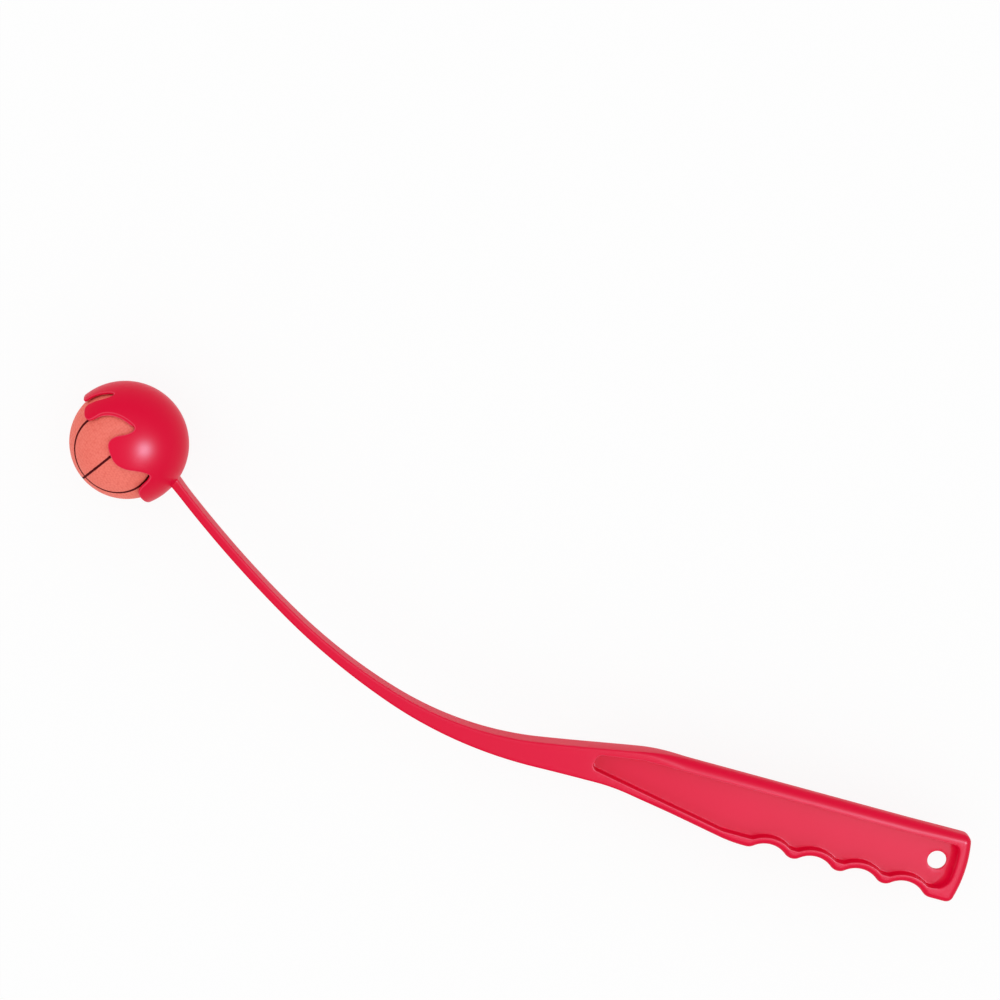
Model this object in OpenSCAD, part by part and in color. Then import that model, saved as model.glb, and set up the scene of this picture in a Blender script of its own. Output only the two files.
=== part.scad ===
// Ball launcher stick for dogs: a one-piece plastic thrower with a gripping cup, and its ball.
// Lengths are in millimetres and angles in degrees.
// The launcher lies on its side and its mid-plane is z = 0. The hanging hole is the origin,
// +X runs along the back of the handle to the butt end, and +Y points to the hollow side of the bow.

/* [Ball] */
// Diameter of the ball
ball_d = 59.4; // [50:0.1:75]
// Wall of the hollow ball
ball_wall = 4; // [2:0.5:8]
// Width of the dark lines round the ball
line_w = 1.1; // [0.6:0.1:2]
// Depth of the grooves that hold the lines
line_depth = 0.8; // [0.5:0.1:1.2]
// How far the lines lie under the skin of the ball
line_recess = 0.25; // [0.1:0.05:0.4]
// How much deeper the crossing line runs than the other three
line_step = 0.1; // [0.05:0.05:0.2]
// Angle between the middle of a loop and its line, at the centre of the ball
loop_angle = 46; // [30:1:60]
// Lean of the loops' axis from the upright
ball_lean = 12.6; // [0:0.1:90]
// Heading of that lean
ball_heading = 232; // [0:1:360]
// Turn of the ball about the loops' axis
ball_spin = 2.5; // [-180:0.5:180]

/* [Cup] */
// Play between the ball and the cup, on the radius
ball_play = 1.5; // [1:0.1:2.5]
// Gap left under the seated ball
seat_gap = 0.3; // [0.2:0.05:0.6]
// Turn from the back of the cup to the place where the ball rests
seat_turn = 22; // [-30:1:30]
// Wall of the cup
cup_wall = 1.6; // [1.2:0.1:3]
// Turn from the shaft's end to the middle of the cup
cup_lean = 16; // [0:0.5:30]
// Turn from the shaft's end to the way the cup opens
cup_opens = 84; // [70:0.5:100]
// Length of the neck moulded to the cup
neck_len = 9; // [6:0.5:20]
// Swell of the neck where it runs into the cup
neck_swell = 0.5; // [0:0.1:2.5]
// Length of the neck buried in the cup before it is trimmed
neck_sink = 6; // [4:0.5:8]

/* [Shaft] */
// Straight length next to the handle
root_len = 25; // [10:1:60]
// Length of the tight bend
tight_len = 84.5; // [60:0.5:110]
// Radius of the tight bend
tight_r = 204; // [150:1:300]
// Length of the middle bend
middle_len = 70.5; // [50:0.5:100]
// Radius of the middle bend
middle_r = 332; // [250:1:450]
// Length of the slow bend at the cup
slow_len = 90; // [60:0.5:130]
// Radius of the slow bend at the cup
slow_r = 645; // [450:1:1000]
// Depth at the cup, in the throwing plane
shaft_depth = 4.6; // [3.5:0.1:8]
// Depth at the handle, in the throwing plane
root_depth = 17.7; // [13:0.1:22]
// Length over which the shaft deepens towards the handle
swell_len = 230; // [150:5:260]
// Thickness across the throwing plane
shaft_t = 12; // [9:0.5:15]
// Radius of the shaft's edges
shaft_edge_r = 0.9; // [0.4:0.1:1.5]

/* [Handle] */
// Distance from the hanging hole to the shaft
handle_len = 197; // [180:1:240]
// Height of the handle's start over the hole
root_rise = 2.3; // [-2:0.1:6]
// Slope of the handle's start
root_slope = 5.5; // [3:0.1:8]
// Thickness of the handle
handle_t = 14; // [12:0.5:24]
// Distance from the hole to the back edge
back_y = 18.2; // [16:0.1:24]
// Distance from the hole to the tips between the fingers
grip_y = 19.2; // [17:0.1:24]
// Distance from the hole to the heel
heel_y = 20; // [18:0.1:26]
// Distance from the hole to the butt end
butt_x = 15.7; // [13:0.1:24]
// Radius of the butt end
butt_r = 71; // [40:1:120]
// Height of the middle of the butt end over the hole
butt_mid_y = -0.2; // [-4:0.1:2]
// Radius of the two corners at the butt end
butt_corner_r = 4.6; // [4.4:0.1:7]
// Slope of the grip edge ahead of the fingers
fore_slope = 10.6; // [8:0.1:14]
// Length of the level stretch ahead of the first tip
fore_level = 8.4; // [7:0.1:14]
// Radius of the back edges
back_edge_r = 5.6; // [2:0.1:5.8]
// Radius of the grip edges
grip_edge_r = 3; // [1.5:0.1:3.4]
// Length over which the edges turn from sharp to round
edge_blend = 34; // [15:1:60]

/* [Finger grooves] */
// Number of finger grooves
fingers = 4; // [3:1:4]
// Distance from one groove to the next
finger_pitch = 25.5; // [22:0.1:28]
// Depth of a groove
finger_depth = 4.5; // [3:0.1:6]
// Radius of the tips between the grooves
finger_tip_r = 6.4; // [4:0.1:7]
// Distance from the hole back to the last groove
finger_back = 12.4; // [9:0.1:16]

/* [Pocket] */
// Thickness of the web between the two pockets
web_t = 2.2; // [1.5:0.1:4]
// Rim along the back edge
back_rim = 5.9; // [5.8:0.1:8]
// Rim along the grip edge
grip_rim = 4; // [3.5:0.1:7]
// Rim at the tips between the fingers
tip_rim = 5.2; // [4.5:0.1:8]
// Rim at the butt end
butt_rim = 6.5; // [5:0.1:9]
// Solid length ahead of the pocket
pocket_start = 4.5; // [3:0.1:20]
// Height of the pocket's blunt front end
pocket_front = 8.2; // [4:0.1:9]
// Lean of that front end
pocket_lean = 1.8; // [0:0.1:4]
// How far the pocket's roof runs ahead of the knee in the back edge
roof_lead = 8; // [0:0.5:12]
// Radius of the pocket's corners
pocket_corner_r = 2; // [0.5:0.1:3]
// Radius of the pocket's two corners at the butt end
pocket_end_r = 4.5; // [2:0.1:8]
// Diameter of the hanging hole
hole_d = 10.3; // [6:0.1:13]

/* [Hidden] */
$fa = 4;
$fs = 0.4;
launcher_red = "crimson";
ball_coral = "salmon";
line_brown = "#2b0d0d";
edge_steps = 4;
bend_step = 7;
spline_steps = 4;
cut_over = 1;

ball_r = ball_d / 2;
cup_ri = ball_r + ball_play;
cup_ro = cup_ri + cup_wall;

// The rim of the cup, as [azimuth, angle from the way it opens], from the far lobe to the lobe
// at the shaft. The curve rounds these corners, and the other side mirrors it.
rim_corners = [
    [-90, 81], [-74, 81], [-68.5, 81], [-68.5, 92], [-62, 111], [-59, 115.5], [-55.8, 114.5],
    [-55.3, 104], [-59.5, 91], [-59, 80], [-48, 80], [-40.5, 80], [-40, 96], [-31, 109],
    [-16, 116.5], [-10.2, 115.2], [-10, 107], [-14.5, 96], [-12, 87], [-1, 84], [8, 83.3],
    [17, 88], [27, 99], [37, 104], [40.5, 99.5], [43, 87], [54, 81.5], [90, 81]
];

function unit(a) = [cos(a), sin(a)];
function left_of(v) = [-v.y, v.x];
function flip(list) = [for (i = [len(list) - 1:-1:0]) list[i]];
function mix(a, b, u) = a + (b - a) * u;
function smooth(u) = let (c = min(max(u, 0), 1)) c * c * (3 - 2 * c);
function spread(a, b, n) = [for (i = [0:n]) mix(a, b, i / n)];

// The middle line of the shaft, walked from the handle to the cup: [point, heading] at length s.
bends = [[root_len, 0], [tight_len, tight_r], [middle_len, middle_r], [slow_len, slow_r]];
shaft_len = root_len + tight_len + middle_len + slow_len;
shaft_start = [[-handle_len, root_rise], 180 + root_slope];
function walked(pose, l, r) =
    r == 0 ? [pose[0] + l * unit(pose[1]), pose[1]]
    : let (turn = l / r * 180 / PI, c = pose[0] - r * left_of(unit(pose[1])))
      [c + r * left_of(unit(pose[1] - turn)), pose[1] - turn];
function spine(s, pose = shaft_start, i = 0) =
    i == len(bends) - 1 || s <= bends[i][0] ? walked(pose, s, bends[i][1])
    : spine(s - bends[i][0], walked(pose, bends[i][0], bends[i][1]), i + 1);

shaft_end = spine(shaft_len);
cup_c = shaft_end[0] + cup_ro * unit(shaft_end[1] + cup_lean);
opening = shaft_end[1] + cup_opens;
ball_c = cup_c - (ball_play - seat_gap) * unit(opening + seat_turn);

// A station of the loft: back edge, grip edge, their inward normals, edge radii, half thickness.
function deepening(s) = max(0, 1 - s / swell_len);
function neck_growth(s) = neck_swell * pow(min(max(1 - (shaft_len - s) / neck_len, 0), 1), 2);
function depth_at(s) = mix(shaft_depth, root_depth, pow(deepening(s), 3)) + 2 * neck_growth(s);
function half_t_at(s) = mix(shaft_t, handle_t, pow(deepening(s), 2)) / 2 + neck_growth(s);
function shaft_station(s) =
    let (pose = spine(s), n = -left_of(unit(pose[1])), d = depth_at(s) / 2)
    [pose[0] + d * n, pose[0] - d * n, -n, n, shaft_edge_r, shaft_edge_r, half_t_at(s)];

// One ring of the loft: rounded edges joined by the flat sides.
function rounded(edge, n, r, half_t) =
    [for (k = [0:edge_steps]) let (a = 90 * k / edge_steps, p = edge + n * r * (1 - cos(a)))
        [p.x, p.y, half_t - r * (1 - sin(a))]];
function below(points) = [for (p = points) [p.x, p.y, -p.z]];
function ring(st) =
    let (back = rounded(st[0], st[2], st[4], st[6]), grip = rounded(st[1], st[3], st[5], st[6]))
    concat(back, flip(grip), below(grip), flip(below(back)));

module loft(stations) {
    rings = [for (st = stations) ring(st)];
    n = len(rings[0]);
    last = len(rings) - 1;
    sides = [for (i = [0:last - 1], k = [0:n - 1], t = [0, 1])
        let (a = i * n + k, b = i * n + (k + 1) % n)
        t == 0 ? [a, a + n, b + n] : [a, b + n, b]];
    first_cap = [for (k = [1:n - 2]) [0, k, k + 1]];
    last_cap = [for (k = [1:n - 2]) [last * n, last * n + k + 1, last * n + k]];
    polyhedron([for (r = rings, p = r) p], concat(first_cap, sides, last_cap));
}

// The outline of the handle. Straight stretches meet in short parabolas, finger grooves in arcs.
root = shaft_station(0);
root_flare = atan(1.5 * (root_depth - shaft_depth) / swell_len);
back_slope = root_slope + root_flare;
grip_slope = root_slope - root_flare;
back_knee = root[0].x + (back_y - root[0].y) / tan(back_slope);
half_pitch = finger_pitch / 2;
tip_span = (half_pitch * half_pitch + finger_depth * finger_depth) / (2 * finger_depth);
groove_r = tip_span - finger_tip_r;
groove_y = -grip_y + finger_depth - groove_r;
groove_x = [for (i = [0:fingers - 1]) -finger_back - (fingers - 1 - i) * finger_pitch];
first_tip_x = groove_x[0] - half_pitch;
tip_y = finger_tip_r - grip_y;
heel_tip_y = finger_tip_r - heel_y;
heel_tip_x = groove_x[fingers - 1] + sqrt(pow(tip_span, 2) - pow(heel_tip_y - groove_y, 2));
fore_knee = first_tip_x - fore_level;
fore_blend = 7;
knee_blend = 10;
wrist_knee = (-grip_y - root[1].y + fore_knee * tan(fore_slope) + root[1].x * tan(grip_slope))
    / (tan(fore_slope) + tan(grip_slope));

// Height of two lines that meet at knee, rounded over the blend on each side of it.
function bent(x, knee, y, slope_a, slope_b, blend) =
    let (d = x - knee, a = tan(slope_a), b = tan(slope_b))
    d <= -blend ? y + a * d
    : d >= blend ? y + b * d
    : y + a * d + (b - a) * pow(d + blend, 2) / (4 * blend);
function back_edge(x) = bent(x, back_knee, back_y, back_slope, 0, knee_blend);
function fore_edge(x) =
    let (wrist_y = -grip_y + (fore_knee - wrist_knee) * tan(fore_slope))
    x < (wrist_knee + fore_knee) / 2 ? bent(x, wrist_knee, wrist_y, grip_slope, -fore_slope, knee_blend)
    : bent(x, fore_knee, -grip_y, -fore_slope, 0, fore_blend);
function groove_at(x) = min(max(floor((x - first_tip_x) / finger_pitch), 0), fingers - 1);
function grip_edge(x) =
    let (i = groove_at(x), d = x - groove_x[i], last = i == fingers - 1 && d > 0,
        tip = last ? [heel_tip_x, heel_tip_y] : [groove_x[i] + (d < 0 ? -1 : 1) * half_pitch, tip_y],
        touch = abs(tip.x - groove_x[i]) * groove_r / tip_span)
    x <= first_tip_x ? fore_edge(x)
    : x >= heel_tip_x ? -heel_y
    : abs(d) <= touch ? groove_y + sqrt(pow(groove_r, 2) - d * d)
    : tip.y - sqrt(pow(finger_tip_r, 2) - pow(x - tip.x, 2));
probe = 0.05;
function back_rise(x) = (back_edge(x + probe) - back_edge(x - probe)) / (2 * probe);
function grip_rise(x) = (grip_edge(x + probe) - grip_edge(x - probe)) / (2 * probe);
function back_normal(x) = left_of(-unit(atan(back_rise(x))));
function grip_normal(x) = left_of(unit(atan(grip_rise(x))));

// The butt end: two corner arcs that touch one wide arc, closed in the middle.
butt_c = [butt_x - butt_r, butt_mid_y];
function corner_c(y) = [butt_c.x + sqrt(pow(butt_r - butt_corner_r, 2) - pow(y - butt_c.y, 2)), y];
back_corner = corner_c(back_y - butt_corner_r);
heel_corner = corner_c(butt_corner_r - heel_y);
function touch_angle(c) = atan((c.y - butt_c.y) / (c.x - butt_c.x));
butt_stop = 0.6;
function on_arc(c, r, a) = [c + r * unit(a), -unit(a)];

// The round of the edges: sharp on the shaft, full on the handle, easing off to fit the butt corners.
corner_play = 0.3;
function fit_corner(r) = min(r, butt_corner_r - corner_play);
butt_edge_r = fit_corner((back_edge_r + grip_edge_r) / 2);
function edge_r(x, r) =
    mix(shaft_edge_r, r, smooth((x - back_knee) / edge_blend + 0.5))
    + (fit_corner(r) - r) * smooth((x - back_corner.x) / edge_blend + 1);
function handle_station(x) =
    [[x, back_edge(x)], [x, grip_edge(x)], back_normal(x), grip_normal(x),
        edge_r(x, back_edge_r), edge_r(x, grip_edge_r), handle_t / 2];
function end_station(back, grip, u) =
    [back[0], grip[0], back[1], grip[1], mix(fit_corner(back_edge_r), butt_edge_r, u),
        mix(fit_corner(grip_edge_r), butt_edge_r, u), handle_t / 2];
corner_steps = 6;
butt_steps = 5;
end_stations = concat(
    [for (u = spread(0, 1, corner_steps)) end_station(
        on_arc(back_corner, butt_corner_r, mix(90, touch_angle(back_corner), u)),
        on_arc(heel_corner, butt_corner_r, mix(-90, touch_angle(heel_corner), u)), u / 2)],
    [for (i = [1:butt_steps]) let (u = i / butt_steps) end_station(
        on_arc(butt_c, butt_r, mix(touch_angle(back_corner), butt_stop, u)),
        on_arc(butt_c, butt_r, mix(touch_angle(heel_corner), -butt_stop, u)), (1 + u) / 2)]
);
fore_steps = 22;
groove_steps = 12;
fore_lead = 4;
fore_start = root[0].x + fore_lead;
heel_lead = 1;
heel_start = min(back_corner.x, heel_corner.x) - heel_lead;
handle_stations = concat(
    [root],
    [for (x = spread(fore_start, first_tip_x, fore_steps)) handle_station(x)],
    [for (i = [0:fingers - 1], k = [1:groove_steps])
        handle_station(mix(i == 0 ? first_tip_x : groove_x[i] - half_pitch,
            i == fingers - 1 ? heel_tip_x : groove_x[i] + half_pitch, k / groove_steps))],
    [handle_station(heel_start)],
    end_stations
);

// The pocket: straight sides, the grooves' own arcs and the butt's arc, each moved in by its rim.
pocket_nose = root[0].x + pocket_start;
pocket_roof = back_y - back_rim;
pocket_sole = tip_rim - grip_y;
function pocket_fore(x) = -grip_y + (fore_knee - x) * tan(fore_slope) + grip_rim / cos(fore_slope);
module pocket_end() {
    offset(r = pocket_end_r, $fn = 48) offset(delta = -pocket_end_r) intersection() {
        translate(butt_c) circle(r = butt_r - butt_rim, $fn = 256);
        translate([butt_c.x - butt_r, pocket_sole]) square([2 * butt_r, pocket_roof - pocket_sole]);
    }
}
module pocket_outline() {
    offset(r = pocket_corner_r, $fn = 32) offset(delta = -pocket_corner_r) difference() {
        intersection() {
            polygon([
                [pocket_nose, pocket_fore(pocket_nose)],
                [first_tip_x, pocket_fore(first_tip_x)],
                [groove_x[0], pocket_sole],
                [butt_x, pocket_sole],
                [butt_x, pocket_roof],
                [back_knee - roof_lead, pocket_roof],
                [pocket_nose + pocket_lean, pocket_fore(pocket_nose) + pocket_front]
            ]);
            union() {
                pocket_end();
                translate([pocket_nose, pocket_sole])
                    square([first_tip_x - pocket_nose, pocket_roof - pocket_sole]);
            }
        }
        for (x = groove_x)
            translate([x, groove_y]) circle(r = groove_r + grip_rim, $fn = 128);
    }
}

// The cup's mouth: a fan of rays from the cup's centre through its lobed rim. It opens along +Z.
lobes = len(rim_corners) - 1;
rim_loop = concat(rim_corners, [for (i = [lobes - 1:-1:1]) [180 - rim_corners[i][0], rim_corners[i][1]]]);
function rim_corner(i) =
    let (n = len(rim_loop))
    i < 0 ? rim_loop[i + n] - [360, 0] : i >= n ? rim_loop[i - n] + [360, 0] : rim_loop[i];
function rim_curve() =
    [for (i = [0:len(rim_loop) - 1], k = [0:spline_steps - 1])
        let (u = k / spline_steps, p = rim_corner(i),
            a = (rim_corner(i - 1) + p) / 2, b = (p + rim_corner(i + 1)) / 2)
        a * pow(1 - u, 2) + 2 * u * (1 - u) * p + b * u * u];
function ray(az, polar) = [-sin(polar) * cos(az), sin(polar) * sin(az), cos(polar)];
module mouth() {
    reach = 2.5 * cup_ro;
    rim = [for (p = rim_curve()) reach * ray(p[0], p[1])];
    n = len(rim);
    tip = [0, 0, reach + cup_ro];
    inner = [for (i = [0:n - 1]) [0, 2 + (i + 1) % n, 2 + i]];
    outer = [for (i = [0:n - 1]) [1, 2 + i, 2 + (i + 1) % n]];
    polyhedron(concat([[0, 0, 0], tip], rim), concat(inner, outer));
}

module in_cup(p) {
    translate([p.x, p.y, 0]) children();
}

// The cup: a thin ball-shaped shell with a lobed mouth and the neck that carries it.
module cup() {
    neck_steps = 9;
    neck = spread(shaft_len + neck_sink, shaft_len - neck_len, neck_steps);
    color(launcher_red) {
        in_cup(cup_c) rotate([0, 90, opening]) difference() {
            sphere(r = cup_ro);
            sphere(r = cup_ri);
            mouth();
        }
        difference() {
            loft([for (s = neck) shaft_station(s)]);
            in_cup(cup_c) sphere(r = cup_ri + cup_wall / 2);
        }
    }
}

// The shaft: a springy strap that bows away from the cup and deepens towards the handle.
module shaft() {
    steps = ceil(shaft_len / bend_step);
    color(launcher_red)
        loft([for (s = spread(shaft_len - neck_len, 0, steps)) shaft_station(s)]);
}

// The handle: a beam with a pocket in each side, finger grooves and a hanging hole.
module handle() {
    pocket_deep = (handle_t - web_t) / 2 + cut_over;
    color(launcher_red) difference() {
        loft(handle_stations);
        for (z = [web_t / 2, -web_t / 2 - pocket_deep])
            translate([0, 0, z]) linear_extrude(pocket_deep) pocket_outline();
        cylinder(d = hole_d, h = handle_t, center = true);
    }
}

// A line round the ball at an angle from the loops' axis, between two depths under the skin.
module line_ring(angle, deep, shallow) {
    rotate_extrude() rotate(90 - angle) translate([ball_r - deep, -line_w / 2])
        square([deep - shallow, line_w]);
}
module ball_pattern(deep, shallow) {
    in_cup(ball_c) rotate([0, ball_lean, ball_heading]) rotate([0, 0, ball_spin]) {
        for (angle = [loop_angle, 90, 180 - loop_angle])
            line_ring(angle, deep, shallow);
        rotate([90, 0, 0]) line_ring(90, deep + line_step, shallow + line_step);
    }
}

// The ball: a hollow rubber shell with grooves for its lines.
module ball() {
    color(ball_coral) difference() {
        in_cup(ball_c) sphere(r = ball_r);
        in_cup(ball_c) sphere(r = ball_r - ball_wall);
        ball_pattern(line_depth, -cut_over);
    }
}

// The dark lines, a little under the skin of the ball.
module ball_lines() {
    color(line_brown) ball_pattern(line_depth, line_recess);
}

cup();
shaft();
handle();
ball();
ball_lines();
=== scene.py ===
# %% [markdown]
# # A ball launcher for dogs
# The real thing is one red plastic moulding and a loose ball. The moulding has a lobed cup that grips the
# ball, a springy bowed strap and a handle with finger grooves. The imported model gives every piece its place
# and size. This lesson builds the surfaces that a close look needs: rounded lips, beads, fillets and
# finishes. All the shapes are worked out as numpy arrays, in millimetres, and turned into metres at the end.

import bmesh
import bpy
import numpy as np
from mathutils import Matrix, Vector
from mathutils.geometry import delaunay_2d_cdt


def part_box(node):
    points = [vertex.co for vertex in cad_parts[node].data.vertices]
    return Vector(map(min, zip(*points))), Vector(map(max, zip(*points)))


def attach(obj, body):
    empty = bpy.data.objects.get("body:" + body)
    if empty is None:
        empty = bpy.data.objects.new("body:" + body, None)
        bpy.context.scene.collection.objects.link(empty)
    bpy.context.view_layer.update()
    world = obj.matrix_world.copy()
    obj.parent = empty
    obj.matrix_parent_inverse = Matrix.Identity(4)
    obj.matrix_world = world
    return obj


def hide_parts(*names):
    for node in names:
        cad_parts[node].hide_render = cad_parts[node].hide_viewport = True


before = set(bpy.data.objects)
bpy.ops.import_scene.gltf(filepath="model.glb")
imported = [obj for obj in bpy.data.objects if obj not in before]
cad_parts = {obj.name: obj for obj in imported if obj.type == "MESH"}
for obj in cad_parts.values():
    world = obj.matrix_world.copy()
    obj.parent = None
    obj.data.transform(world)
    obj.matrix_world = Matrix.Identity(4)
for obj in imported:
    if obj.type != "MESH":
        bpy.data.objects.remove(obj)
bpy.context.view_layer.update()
MM = 0.001

# %% [markdown]
# ## The camera
# The picture is a long-lens product shot from over the back of the handle. A camera is three axes and a
# place, so both are worked out directly: the tilt and the turn of the picture give the axes, and the pixel
# where the hanging hole appears fixes the place, because that hole is the origin of the frame.

# %% Camera axes and place
PICTURE_PX = 1000
FOCAL_PX = 2500
EYE_DISTANCE = 1.3065
CAMERA_TILT = np.radians(10)
CAMERA_TURN = np.radians(15.645)
HOLE_PX = np.array([936.7, 859.6])
SENSOR_MM = 36

picture_right = np.array([np.cos(CAMERA_TURN), np.sin(CAMERA_TURN), 0])
picture_up = np.array([
    -np.sin(CAMERA_TURN) * np.cos(CAMERA_TILT),
    np.cos(CAMERA_TURN) * np.cos(CAMERA_TILT),
    -np.sin(CAMERA_TILT),
])
to_viewer = np.cross(picture_right, picture_up)
camera_axes = np.column_stack([picture_right, picture_up, to_viewer])


def eye_for(hole_px):
    """Place of the eye: the ray through the hole's pixel meets the launcher's mid-plane at the origin."""
    offset = (hole_px - PICTURE_PX / 2) / FOCAL_PX * (1, -1)
    ray = camera_axes @ np.append(offset, -1.0)
    mid_plane = camera_axes @ np.array([0, 0, EYE_DISTANCE])
    hole = mid_plane - ray * mid_plane[2] / ray[2]
    return mid_plane - hole


eye = eye_for(HOLE_PX)
camera = bpy.data.objects.new("camera", bpy.data.cameras.new("camera"))
bpy.context.scene.collection.objects.link(camera)
camera.matrix_world = Matrix.Translation(Vector(eye)) @ Matrix(camera_axes.tolist()).to_4x4()
camera.data.sensor_width = SENSOR_MM
camera.data.lens = SENSOR_MM * FOCAL_PX / PICTURE_PX
bpy.context.scene.camera = camera
bpy.context.scene.view_settings.view_transform = "Standard"
print("eye at", eye.round(3), "lens", camera.data.lens, "mm")

# %% [markdown]
# ## A white studio
# The launcher lies on a white sweep under soft light. A floor that is only white paint renders grey, so for
# the rays that look at it most of its white is emitted, and the rest is lit paint that takes the shadow.
# The light is a wide white dome. It is weaker near the horizon, so that upright walls stay deep in colour,
# but the rays that look at it see plain white. Two round softboxes and a wide weak sheen are there for
# reflections only: they make the highlight on the cup and the soft gloss on the handle and the strap.

# %% Helpers for node trees
def link_value(tree, socket, value):
    """Sets a socket to a plain value, or links it to another node's output."""
    if isinstance(value, bpy.types.NodeSocket):
        tree.links.new(value, socket)
    else:
        socket.default_value = value


def add_node(tree, kind, settings=None, **inputs):
    """Adds a node, sets its properties, and fills the inputs that are named with words joined by _."""
    node = tree.nodes.new(kind)
    for name, value in (settings or {}).items():
        setattr(node, name, value)
    for name, value in inputs.items():
        link_value(tree, node.inputs[name.replace("_", " ")], value)
    return node


def add_math(tree, operation, first, second):
    """Adds one Math node and returns its output."""
    node = tree.nodes.new("ShaderNodeMath")
    node.operation = operation
    link_value(tree, node.inputs[0], first)
    link_value(tree, node.inputs[1], second)
    return node.outputs[0]


def looking_ray(tree):
    """1 for the rays that look at a surface, straight, mirrored or through glass, and 0 for light."""
    path = tree.nodes.new("ShaderNodeLightPath")
    bounced = add_math(tree, "MAXIMUM", path.outputs["Is Glossy Ray"], path.outputs["Is Transmission Ray"])
    return add_math(tree, "MAXIMUM", path.outputs["Is Camera Ray"], bounced)


# %% Sweep
WHITE = (1, 1, 1, 1)
SWEEP_PAINT = (0.9, 0.9, 0.9, 1)
SWEEP_GLOW = 0.88
SWEEP_SIZE = 8
SWEEP_GAP = 0.0015


def make_sweep_white():
    """White paint, mixed with emitted white for the rays that look at it."""
    material = bpy.data.materials.new("sweep_white")
    material.use_nodes = True
    tree = material.node_tree
    tree.nodes.clear()
    paint = add_node(tree, "ShaderNodeBsdfDiffuse", Color=SWEEP_PAINT)
    glow = add_node(tree, "ShaderNodeEmission", Color=WHITE)
    share = add_math(tree, "MULTIPLY", looking_ray(tree), SWEEP_GLOW)
    blend = add_node(tree, "ShaderNodeMixShader", Fac=share)
    tree.links.new(paint.outputs[0], blend.inputs[1])
    tree.links.new(glow.outputs[0], blend.inputs[2])
    add_node(tree, "ShaderNodeOutputMaterial", Surface=blend.outputs[0])
    return material


def make_sweep():
    """A square floor just under the cup, the launcher's lowest piece."""
    half = SWEEP_SIZE / 2
    corners = np.array([(-half, -half), (half, -half), (half, half), (-half, half)])
    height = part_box("cup")[0].z - SWEEP_GAP
    mesh = bpy.data.meshes.new("sweep")
    mesh.from_pydata(np.column_stack([corners, np.full(4, height)]).tolist(), [], [(0, 1, 2, 3)])
    sweep = bpy.data.objects.new("sweep", mesh)
    bpy.context.scene.collection.objects.link(sweep)
    mesh.materials.append(make_sweep_white())
    return sweep


sweep = make_sweep()
print("sweep at height", round(sweep.data.vertices[0].co.z, 4))

# %% Sky
DOME_LIGHT, DOME_FOOT = 1.06, 0.55
DOME_EDGE = (0.2, 0.45)


def make_sky():
    """A white dome whose light fades to its foot between two heights of the ray's direction.

    The rays that look at it see plain white, so that no horizon shows behind the sweep."""
    world = bpy.data.worlds.new("studio")
    bpy.context.scene.world = world
    world.use_nodes = True
    tree = world.node_tree
    ray = tree.nodes.new("ShaderNodeTexCoord").outputs["Generated"]
    way = add_node(tree, "ShaderNodeSeparateXYZ", Vector=ray)
    level = add_node(tree, "ShaderNodeMapRange", {"interpolation_type": "SMOOTHSTEP"},
                     Value=way.outputs["Z"], From_Min=DOME_EDGE[0], From_Max=DOME_EDGE[1],
                     To_Min=DOME_FOOT, To_Max=DOME_LIGHT)
    light = level.outputs["Result"]
    missing = add_math(tree, "SUBTRACT", 1.0, light)
    seen = add_math(tree, "MULTIPLY", looking_ray(tree), missing)
    background = tree.nodes["Background"]
    background.inputs["Color"].default_value = WHITE
    link_value(tree, background.inputs["Strength"], add_math(tree, "ADD", light, seen))
    return world


sky = make_sky()
print("sky:", sky.name, "from", DOME_FOOT, "at the horizon to", DOME_LIGHT, "overhead")

# %% Softboxes and sheen
COOL_WHITE = (0.62, 0.78, 1.0)


def add_lamp(name, kind, place, way, energy):
    """A lamp for reflections only that shines against the given way."""
    lamp = bpy.data.objects.new(name, bpy.data.lights.new(name, kind))
    lamp.data.energy = energy
    lamp.data.color = COOL_WHITE
    lamp.location = place
    lamp.rotation_mode = "QUATERNION"
    lamp.rotation_quaternion = Vector(way).to_track_quat("Z", "Y")
    lamp.visible_diffuse = False
    lamp.visible_camera = False
    bpy.context.scene.collection.objects.link(lamp)
    return lamp


def add_softbox(name, target, to_right, to_top, distance, size, watts):
    """A round area lamp that faces target, seen from there at these angles from the way to the eye."""
    to_eye = eye - target
    slopes = np.tan(np.radians([to_right, to_top])) * np.linalg.norm(to_eye)
    way = to_eye + picture_right * slopes[0] + picture_up * slopes[1]
    way = way / np.linalg.norm(way)
    lamp = add_lamp(name, "AREA", target + way * distance, way, watts)
    lamp.data.shape = "DISK"
    lamp.data.size = size
    return lamp


def add_sheen(name, spread, strength):
    """A round light as far away as the sun and as wide as the spread in degrees, over the eye."""
    lamp = add_lamp(name, "SUN", eye, to_viewer, strength)
    lamp.data.angle = np.radians(spread)
    return lamp


cup_middle = np.mean(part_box("cup"), axis=0)
hanging_hole = np.zeros(3)
cup_softbox = add_softbox("cup_softbox", cup_middle, to_right=37, to_top=-13,
                          distance=2.0, size=0.7, watts=200)
handle_softbox = add_softbox("handle_softbox", hanging_hole, to_right=20, to_top=-23,
                             distance=0.8, size=0.5, watts=8)
sheen = add_sheen("overhead_sheen", spread=110, strength=2.4)
print("softboxes at", cup_softbox.location, handle_softbox.location, "and a sheen called", sheen.name)

# %% [markdown]
# ## Patches that become solids
# Each piece is a closed skin sewn from patches. A grid patch is a function of two parameters. A filled patch
# closes an outline with triangles, for regions such as the cup's skin whose lobed edge no plain grid can
# follow. The patches share their edge points, so merging doubles sews them up. Boolean cuts and bevels could
# make the same solids, but where walls are thin they leave uneven faces, and those show in a highlight.

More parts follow.
